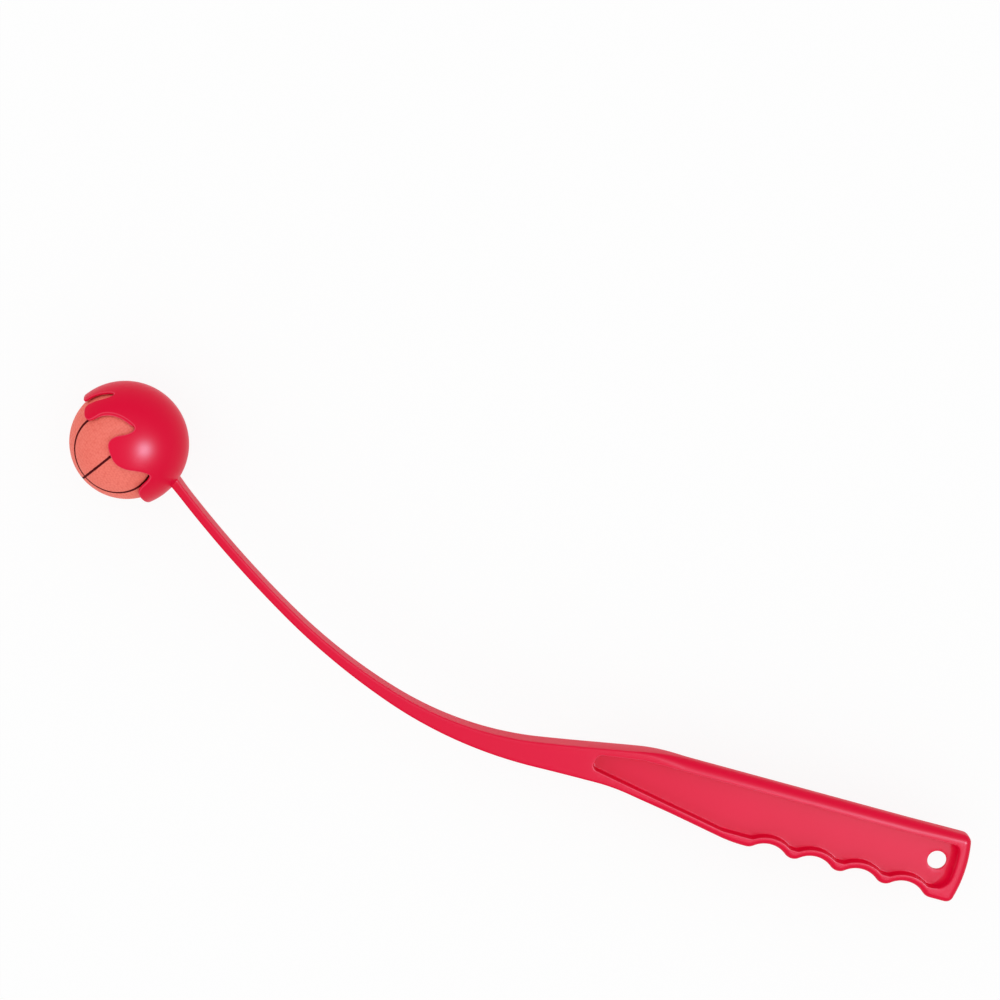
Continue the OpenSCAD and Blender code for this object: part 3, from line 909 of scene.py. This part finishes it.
def bead_radius():
    """Radius of the edge: sharp at the strap, full along the handle, and smaller at the butt's corners."""
    x = outline[:, 0]
    on_back = smooth(0.5 - outline_inward[:, 1] / 2)
    full = mix(GRIP_BEAD, BACK_BEAD, on_back)
    at_butt = smooth((x - BUTT_X) / BEAD_BLEND + CORNER_LEAD)
    fitted = mix(full, np.minimum(full, CORNER_BEAD), at_butt)
    return mix(STRAP_EDGE, fitted, past_knee(x))


def bead_points():
    """Half of the bead, from the upper face over a quarter ellipse down to the mid-plane."""
    radius = bead_radius()
    fullness = mix(EDGE_FULLNESS, BEAD_FULLNESS, past_knee(outline[:, 0]))
    tall = np.minimum(radius * fullness, grip_half - LEAST_WALL)
    a = np.radians(np.linspace(0, 90, BEAD_STEPS + 1))[:, None]
    offset = radius * (1 - np.sin(a))
    height = grip_half - tall * (1 - np.cos(a))
    quarter = stack(outline, outline_inward, offset, height)
    middle = stack(outline, outline_inward, np.zeros((1, len(outline))), np.zeros(1))
    return np.concatenate([quarter, middle])


bead = bead_points()
print("bead of", len(bead), "rows")

# %% Pocket wall and hanging hole
WEB_THICK, HOLE_D = 2.2, 10.3
BACK_ROUND, GRIP_ROUND, BUTT_ROUND = 0.35, 0.45, 1.1
WALL_DRAFT, FLOOR_FILLET = 0.2, 0.6
END_REACH, END_FACING = 12, 2
END_FILLET_WIDE, END_FILLET_TALL = 3.3, 4.6
ROUND_POINTS, FILLET_POINTS = 6, 11
HOLE_ROUND, HOLE_ROUND_POINTS, HOLE_POINTS = 0.25, 4, 96
web_half = WEB_THICK / 2


def pocket_points():
    """The pocket's wall: a small round at the rim, a drafted wall and a fillet into the web.

    The round and the fillet grow towards the butt, where the web sweeps up to the rim."""
    a = np.radians(np.linspace(0, 90, ROUND_POINTS))[:, None]
    b = np.radians(np.linspace(0, 90, FILLET_POINTS))[:, None]
    near_butt = smooth((pocket[:, 0] - pocket[:, 0].max()) / END_REACH + 1)
    at_butt = near_butt * smooth(-END_FACING * pocket_inward[:, 0])
    on_grip = smooth(0.5 + pocket_inward[:, 1])
    edge = mix(mix(BACK_ROUND, GRIP_ROUND, on_grip), BUTT_ROUND, at_butt)
    wide = mix(FLOOR_FILLET, END_FILLET_WIDE, at_butt)
    tall = mix(FLOOR_FILLET, END_FILLET_TALL, at_butt)
    offset = np.vstack([-edge * (1 - np.sin(a)), WALL_DRAFT + wide * (1 - np.cos(b))])
    height = np.vstack([grip_half - edge * (1 - np.cos(a)), web_half + tall * (1 - np.sin(b))])
    return stack(pocket, pocket_inward, offset, height)


def hole_points():
    """The wall of the hanging hole, with a small round at each face of the web."""
    a = np.radians(np.linspace(0, 90, HOLE_ROUND_POINTS))
    radius = HOLE_D / 2 + HOLE_ROUND * (1 - np.sin(a))
    height = web_half - HOLE_ROUND * (1 - np.cos(a))
    radius, height = np.append(radius, radius[::-1]), np.append(height, -height[::-1])
    flat = radius[:, None, None] * heading(np.linspace(0, 360, HOLE_POINTS, endpoint=False))
    level = np.broadcast_to(height[:, None, None], flat.shape[:2] + (1,))
    return np.concatenate([flat, level], -1)


pocket_wall = pocket_points()
hole_wall = hole_points()
print("pocket wall of", len(pocket_wall), "rows, hole wall of", len(hole_wall), "rows")

# %% Sew the handle
FILL_SPACING = 1.6


def flat_patch(loops, height, spacing):
    """A filled patch at one height."""
    spots, triangles = fill(loops, spacing)
    return np.column_stack([spots, np.full(len(spots), height)]), triangles


def mirrored(patch):
    """The same patch on the other side of the mid-plane."""
    points, faces = patch
    return points * (1, 1, -1), faces


def make_handle():
    """Sews both sides: bead, rim top, pocket wall and web, with the hole between the webs and a flat cap."""
    top = flat_patch([bead[0, :, :2], pocket_wall[0, :, :2]], grip_half, FILL_SPACING)
    web = flat_patch([pocket_wall[-1, :, :2], hole_wall[0, :, :2]], web_half, FILL_SPACING)
    side = [grid_patch(bead, wrap=False), grid_patch(pocket_wall), top, web]
    back, grip = bead[:, 0], bead[:, -1]
    below = np.array([1, 1, -1])
    start = np.vstack([back, back[-2::-1] * below, grip[:-1] * below, grip[::-1]])
    patches = [*side, *map(mirrored, side), grid_patch(hole_wall), cap_patch(start)]
    return sew("handle_grip", patches, SHARP_PLASTIC)


handle = make_handle()

# %% [markdown]
# ## The ball
# The ball is moulded rubber with the plain lines of a sports ball: a ring round the middle, one across it,
# and a loop on each side. The skin is a globe in latitude and longitude whose poles lie in the two loops,
# so each line but one is a parallel. An icosphere spreads its points evenly and would need far more of them
# to show a line. Here rows and columns are set closer at the lines, where the skin dips into a groove.

# %% Place and lines of the ball
BALL_R = BALL_D / 2
SEAT_GAP, SEAT_TURN = 0.3, 22
LOOP_ANGLE, BALL_LEAN, BALL_HEADING, BALL_SPIN = 46, 12.6, 232, 2.5
LOOP_WIDTH, RING_WIDTH = 1.6, 1.15
LINE_ANGLES = np.array([LOOP_ANGLE, 90, 180 - LOOP_ANGLE])
LINE_WIDTHS = np.array([LOOP_WIDTH, RING_WIDTH, LOOP_WIDTH])

seat_way = np.append(heading(neck_turn + CUP_OPENS + SEAT_TURN), 0)
ball_centre = cup_centre - (BALL_PLAY - SEAT_GAP) * seat_way


def turned(points):
    """The ball's own frame turned into place: spin about the loops' axis, lean, then heading."""
    spin = Matrix.Rotation(np.radians(BALL_SPIN), 3, "Z")
    lean = Matrix.Rotation(np.radians(BALL_LEAN), 3, "Y")
    swing = Matrix.Rotation(np.radians(BALL_HEADING), 3, "Z")
    return points @ np.array(swing @ lean @ spin).T


def globe_ways(polar, around):
    """Unit vectors of a globe about the loops' axis, from the angle off that axis and the angle round it."""
    p, a = np.radians(polar), np.radians(around)
    return np.stack([np.sin(p) * np.cos(a), np.sin(p) * np.sin(a), np.cos(p) + 0 * a], -1)


print("ball centre", ball_centre.round(2), "lines at", LINE_ANGLES, "degrees")

# %% Skin of the ball
LINE_DEPTH = 0.8
GROOVE_EDGE, GROOVE_WALL = 0.02, 0.06
GROOVE_LIP, LIP_DIP = 0.3, 0.06
BALL_ROWS, BALL_COLUMNS = 150, 260
WIDTHS_BESIDE = np.array([0.3, 0.44, 0.5, 0.56, 0.64, 0.76, 0.92])
ALL_SMOOTH = 180


def close_steps(even, lines, widths):
    """Even steps with extra ones on both sides of each line, at shares of its width from its middle."""
    beside = np.degrees(WIDTHS_BESIDE * widths[:, None] / BALL_R)
    extra = np.concatenate([lines[:, None] + beside, lines[:, None] - beside]).ravel()
    return np.unique(np.concatenate([even, extra]))


def groove(distance, width):
    """Depth of a groove at a distance from its middle: a flat floor, a steep wall and a soft lip."""
    half = width / 2
    wall = smooth((half + GROOVE_EDGE - distance) / GROOVE_WALL)
    lip = LIP_DIP * smooth((half + GROOVE_LIP - distance) / GROOVE_LIP)
    return np.maximum(LINE_DEPTH * wall, lip)


def make_ball():
    """The globe's radius less the deepest groove at each point."""
    polar = close_steps(np.linspace(0, 180, BALL_ROWS), LINE_ANGLES, LINE_WIDTHS)
    crossings = np.array([0, 180, 360])
    around = np.linspace(0, 360, BALL_COLUMNS, endpoint=False)
    around = close_steps(around, crossings, np.full(len(crossings), RING_WIDTH))
    around = around[(around >= 0) & (around < 360)]
    polar, around = np.meshgrid(polar, around, indexing="ij")
    parallels = np.radians(np.abs(polar[..., None] - LINE_ANGLES)) * BALL_R
    across = np.abs(np.arcsin(np.sin(np.radians(polar)) * np.sin(np.radians(around)))) * BALL_R
    depth = np.maximum(groove(parallels, LINE_WIDTHS).max(axis=-1), groove(across, RING_WIDTH))
    points = ball_centre + turned((BALL_R - depth)[..., None] * globe_ways(polar, around))
    return sew("ball_skin", [grid_patch(points)], ALL_SMOOTH)


ball = make_ball()

# %% Lines of the ball
LINE_STEPS = 240
LINE_RECESS, LINE_STEP, LINE_PLAY = 0.03, 0.03, 0.01
LINE_FOOT = LINE_DEPTH - LINE_RECESS
LINE_ACROSS = np.array([-1, -1, -0.6, 0, 0.6, 1, 1])
LINE_DROP = np.array([LINE_FOOT, 0.06, 0.01, 0, 0.01, 0.06, LINE_FOOT])
SHARP_LINE = 60


def line_ring(angle, width, deeper, turn=None):
    """A closed band in its groove: a low crowned profile carried round the globe."""
    across = LINE_ACROSS * (width / 2 - LINE_PLAY)
    polar = np.degrees(across / BALL_R) + angle
    around = np.linspace(0, 360, LINE_STEPS, endpoint=False)
    way = globe_ways(polar[None], around[:, None])
    if turn is not None:
        way = way @ turn.T
    radius = BALL_R - LINE_RECESS - deeper - LINE_DROP
    points = ball_centre + turned(radius[None, :, None] * way)
    faces = grid_faces(LINE_STEPS + 1, len(across), True).reshape(-1, 4)
    return points.reshape(-1, 3), faces % (LINE_STEPS * len(across))


def make_lines():
    """Three parallels and the crossing ring, which lies a little deeper."""
    upright = np.array(Matrix.Rotation(np.radians(90), 3, "X"))
    bands = [line_ring(angle, width, 0.0) for angle, width in zip(LINE_ANGLES, LINE_WIDTHS)]
    return sew("ball_line_inlay", [*bands, line_ring(90, RING_WIDTH, LINE_STEP, upright)], SHARP_LINE)


lines = make_lines()

# %% [markdown]
# ## Finishes
# Moulded plastic is never one flat colour: the melt flows, the tool leaves a fine satin grain, and use adds
# hairline scuffs. Sharp edges get a paler red, a painted highlight. Rubber has a pebbled skin, with a
# highlight painted on the tops of its pebbles. Painted textures would need a UV map and lose their detail
# close up, so noise that reads the object's own coordinates is used.
# The effects are shader node groups with named sockets, built once and placed in each material with its own
# values.

# %% Moulded grain
def new_group(name, inputs, outputs):
    """An empty shader node group with float inputs and outputs, and a vector input called Vector."""
    group = bpy.data.node_groups.new(name, "ShaderNodeTree")
    group.interface.new_socket("Vector", in_out="INPUT", socket_type="NodeSocketVector")
    for label, value in inputs.items():
        socket = group.interface.new_socket(label, in_out="INPUT", socket_type="NodeSocketFloat")
        socket.default_value = value
    for label in outputs:
        group.interface.new_socket(label, in_out="OUTPUT", socket_type="NodeSocketFloat")
    return group, group.nodes.new("NodeGroupInput").outputs, group.nodes.new("NodeGroupOutput").inputs


def make_grain_group():
    """Moulded grain: fine noise as Height, and slow noise as Tone, for drifts of colour and gloss."""
    inputs = {"Grain Scale": 3000.0, "Drift Scale": 25.0}
    group, given, put = new_group("moulded_grain", inputs, ["Height", "Tone"])
    fine = add_node(group, "ShaderNodeTexNoise", Vector=given["Vector"], Scale=given["Grain Scale"],
                    Detail=3.0, Roughness=0.6)
    slow = add_node(group, "ShaderNodeTexNoise", Vector=given["Vector"], Scale=given["Drift Scale"],
                    Detail=4.0, Roughness=0.55)
    group.links.new(fine.outputs["Fac"], put["Height"])
    group.links.new(slow.outputs["Fac"], put["Tone"])
    return group


grain_group = make_grain_group()
print("group:", grain_group.name)

# %% Hairline scuffs
SCUFF_STRETCH = (0.12, 1.0, 1.0)
SCUFF_TURN = (0.3, 0.2, 0.5)
NOISE_MIDDLE, WORN_FROM = 0.5, 0.56


def make_scuff_group():
    """Hairline scuffs: thin lines where stretched noise crosses its middle value, in worn patches."""
    inputs = {"Scale": 120.0, "Width": 0.006, "Patch Scale": 40.0}
    group, given, put = new_group("hairline_scuffs", inputs, ["Mask"])
    stretch = add_node(group, "ShaderNodeMapping", Vector=given["Vector"], Scale=SCUFF_STRETCH,
                       Rotation=SCUFF_TURN)
    noise = add_node(group, "ShaderNodeTexNoise", Vector=stretch.outputs[0], Scale=given["Scale"],
                     Detail=1.0)
    off_middle = add_math(group, "SUBTRACT", noise.outputs["Fac"], NOISE_MIDDLE)
    line = add_math(group, "LESS_THAN", add_math(group, "ABSOLUTE", off_middle, 0.0), given["Width"])
    patch = add_node(group, "ShaderNodeTexNoise", Vector=given["Vector"], Scale=given["Patch Scale"],
                     Detail=2.0)
    worn = add_math(group, "GREATER_THAN", patch.outputs["Fac"], WORN_FROM)
    group.links.new(add_math(group, "MULTIPLY", line, worn), put["Mask"])
    return group


scuff_group = make_scuff_group()
print("group:", scuff_group.name)

# %% Pebbled skin
PEBBLE_TURN = (0.6, 0.35, 0.8)


def make_pebble_group():
    """Pebbled rubber: rounded cells as Height, and their edges as Valley.

    The height is 1 less the square of the distance from the cell's middle."""
    group, given, put = new_group("pebbled_skin", {"Pebble Scale": 1100.0}, ["Height", "Valley"])
    askew = add_node(group, "ShaderNodeMapping", Vector=given["Vector"], Rotation=PEBBLE_TURN)
    cells = add_node(group, "ShaderNodeTexVoronoi", {"feature": "SMOOTH_F1"}, Vector=askew.outputs[0],
                     Scale=given["Pebble Scale"], Smoothness=0.3, Randomness=0.5)
    dome = add_math(group, "SUBTRACT", 1.0, add_math(group, "POWER", cells.outputs["Distance"], 2.0))
    group.links.new(dome, put["Height"])
    group.links.new(add_math(group, "SUBTRACT", 1.0, dome), put["Valley"])
    return group


pebble_group = make_pebble_group()
print("group:", pebble_group.name)

# %% [markdown]
# ### Three materials
# The plastic's red drifts with the melt. Sharp edges, which the mesh stores for each point, get a paler
# red, a painted highlight. The ball's rubber has a highlight painted on the tops of its pebbles and is dull
# in the valleys. The lines are dark and dull. Colour, roughness and bump come from the groups. The specular
# level is one number all over a surface, so it is set on the shader's own socket.

# %% Helpers for materials
NOISE_SPAN = (0.2, 0.8)
WHOLE = (0.0, 1.0)


def place_group(tree, group, vector, **inputs):
    """Puts a group into a material, fills its inputs and returns its outputs."""
    return add_node(tree, "ShaderNodeGroup", {"node_tree": group}, Vector=vector, **inputs).outputs


def start_material(name):
    """A material with a Principled shader. Returns it, its tree, the shader and the object coordinates."""
    material = bpy.data.materials.new(name)
    material.use_nodes = True
    tree = material.node_tree
    place = tree.nodes.new("ShaderNodeTexCoord").outputs["Object"]
    return material, tree, tree.nodes["Principled BSDF"], place


def blend_colours(tree, share, first, second):
    """A colour between two, by a share that changes over the surface."""
    node = add_node(tree, "ShaderNodeMix", {"data_type": "RGBA"})
    link_value(tree, node.inputs["Factor"], share)
    for socket, colour in zip([s for s in node.inputs if s.type == "RGBA"], (first, second)):
        link_value(tree, socket, colour)
    return next(s for s in node.outputs if s.type == "RGBA")


def fit_range(tree, value, goal, span=NOISE_SPAN):
    """A value within a span, by default where noise mostly lies, stretched to a goal with soft ends."""
    node = add_node(tree, "ShaderNodeMapRange", {"interpolation_type": "SMOOTHSTEP"}, Value=value,
                    From_Min=span[0], From_Max=span[1], To_Min=goal[0], To_Max=goal[1])
    return node.outputs["Result"]


def add_bump(tree, shader, height, strength, depth):
    """Feeds a height to the shader's normal."""
    bump = add_node(tree, "ShaderNodeBump", Height=height, Strength=strength, Distance=depth)
    tree.links.new(bump.outputs["Normal"], shader.inputs["Normal"])


# %% Red plastic
PLASTIC_RED, PLASTIC_DEEP = (0.755, 0.0012, 0.038, 1), (0.735, 0.001, 0.034, 1)
# The paler red is a highlight painted on sharp edges, in patches.
PLASTIC_EDGE_HIGHLIGHT = (0.84, 0.085, 0.15, 1)
EDGE_HIGHLIGHT_SPAN, EDGE_HIGHLIGHT_PATCHES = (0.35, 1.0), (0.45, 1.0)
PLASTIC_ROUGHNESS, SCUFF_ROUGHNESS = (0.38, 0.34), 0.05
PLASTIC_SPECULAR = 0.07


def make_plastic():
    """Satin red plastic: two reds that drift with the melt, a painted edge highlight, fine grain and scuffs.
    """
    material, tree, shader, place = start_material("satin_red_plastic")
    grain = place_group(tree, grain_group, place, Grain_Scale=2600.0, Drift_Scale=22.0)
    scuffs = place_group(tree, scuff_group, place, Scale=420.0, Width=0.004)
    body = blend_colours(tree, fit_range(tree, grain["Tone"], WHOLE), PLASTIC_DEEP, PLASTIC_RED)
    # Sharp edges, stored on the mesh, get the paler red: a painted highlight.
    on_edge = add_node(tree, "ShaderNodeAttribute", {"attribute_name": "painted_edge_highlight"}).outputs["Fac"]
    patches = fit_range(tree, grain["Tone"], EDGE_HIGHLIGHT_PATCHES)
    painted_edge_highlight = add_math(tree, "MULTIPLY", fit_range(tree, on_edge, WHOLE, EDGE_HIGHLIGHT_SPAN), patches)
    link_value(tree, shader.inputs["Base Color"], blend_colours(tree, painted_edge_highlight, body, PLASTIC_EDGE_HIGHLIGHT))
    satin = fit_range(tree, grain["Tone"], PLASTIC_ROUGHNESS)
    scuffed = add_math(tree, "MULTIPLY", scuffs["Mask"], SCUFF_ROUGHNESS)
    link_value(tree, shader.inputs["Roughness"], add_math(tree, "ADD", satin, scuffed))
    shader.inputs["Specular IOR Level"].default_value = PLASTIC_SPECULAR
    add_bump(tree, shader, grain["Height"], strength=0.08, depth=0.00005)
    return material


red_plastic = make_plastic()
print("material:", red_plastic.name)

# %% Coral rubber
# The paler coral is a highlight painted on the tops of the pebbles.
RUBBER_CORAL, RUBBER_PAINTED_HIGHLIGHT = (0.77, 0.115, 0.08, 1), (0.94, 0.215, 0.165, 1)
PEBBLE_HIGHLIGHT_RANGE = (0.8, 1.1)
RUBBER_ROUGHNESS, VALLEY_ROUGHNESS = 0.5, 0.2
RUBBER_SPECULAR = 0.08


def make_rubber():
    """Coral rubber: domed pebbles with a painted highlight on their tops, and a dull sheen, duller in the
    valleys.
    """
    material, tree, shader, place = start_material("pebbled_coral_rubber")
    pebbles = place_group(tree, pebble_group, place, Pebble_Scale=780.0)
    grain = place_group(tree, grain_group, place, Grain_Scale=5200.0, Drift_Scale=45.0)
    # Pebble tops get the paler coral: a painted highlight.
    pebble_top_highlight = add_math(tree, "MULTIPLY", pebbles["Height"], fit_range(tree, grain["Tone"], PEBBLE_HIGHLIGHT_RANGE))
    link_value(tree, shader.inputs["Base Color"], blend_colours(tree, pebble_top_highlight, RUBBER_CORAL, RUBBER_PAINTED_HIGHLIGHT))
    duller = add_math(tree, "MULTIPLY", pebbles["Valley"], VALLEY_ROUGHNESS)
    link_value(tree, shader.inputs["Roughness"], add_math(tree, "ADD", RUBBER_ROUGHNESS, duller))
    shader.inputs["Specular IOR Level"].default_value = RUBBER_SPECULAR
    add_bump(tree, shader, pebbles["Height"], strength=0.9, depth=0.0002)
    return material


coral_rubber = make_rubber()
print("material:", coral_rubber.name)

# %% Line rubber
LINE_BROWN, LINE_FADED = (0.07, 0.001, 0.003, 1), (0.10, 0.003, 0.006, 1)
LINE_ROUGHNESS = (0.65, 0.85)
LINE_SPECULAR = 0.04


def make_line_rubber():
    """Dark rubber of the lines: dull, with a faint grain and faded patches."""
    material, tree, shader, place = start_material("dark_line_rubber")
    grain = place_group(tree, grain_group, place, Grain_Scale=3500.0, Drift_Scale=120.0)
    colour = blend_colours(tree, fit_range(tree, grain["Tone"], WHOLE), LINE_BROWN, LINE_FADED)
    link_value(tree, shader.inputs["Base Color"], colour)
    link_value(tree, shader.inputs["Roughness"], fit_range(tree, grain["Height"], LINE_ROUGHNESS))
    shader.inputs["Specular IOR Level"].default_value = LINE_SPECULAR
    add_bump(tree, shader, grain["Height"], strength=0.3, depth=0.00005)
    return material


line_rubber = make_line_rubber()
print("material:", line_rubber.name)

# %% [markdown]
# ## Joining the frame
# Each piece rides on the body that carries it, so the ball can move apart from the cup. It stands for
# the imported node of the same shape, which is hidden.

# %% Dress the pieces
def dress(piece, material, body, slot, *nodes):
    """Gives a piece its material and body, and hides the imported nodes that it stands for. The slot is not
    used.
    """
    piece.data.materials.append(material)
    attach(piece, body)
    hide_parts(*nodes)
    print(piece.name, "rides on", body, "and stands for", nodes)


dress(cup, red_plastic, "launcher", "launcher_plastic", "cup")
dress(strap, red_plastic, "launcher", "launcher_plastic", "shaft")
dress(handle, red_plastic, "launcher", "launcher_plastic", "handle")
dress(ball, coral_rubber, "ball", "ball_rubber", "ball")
dress(lines, line_rubber, "ball", "line_rubber", "ball_lines")
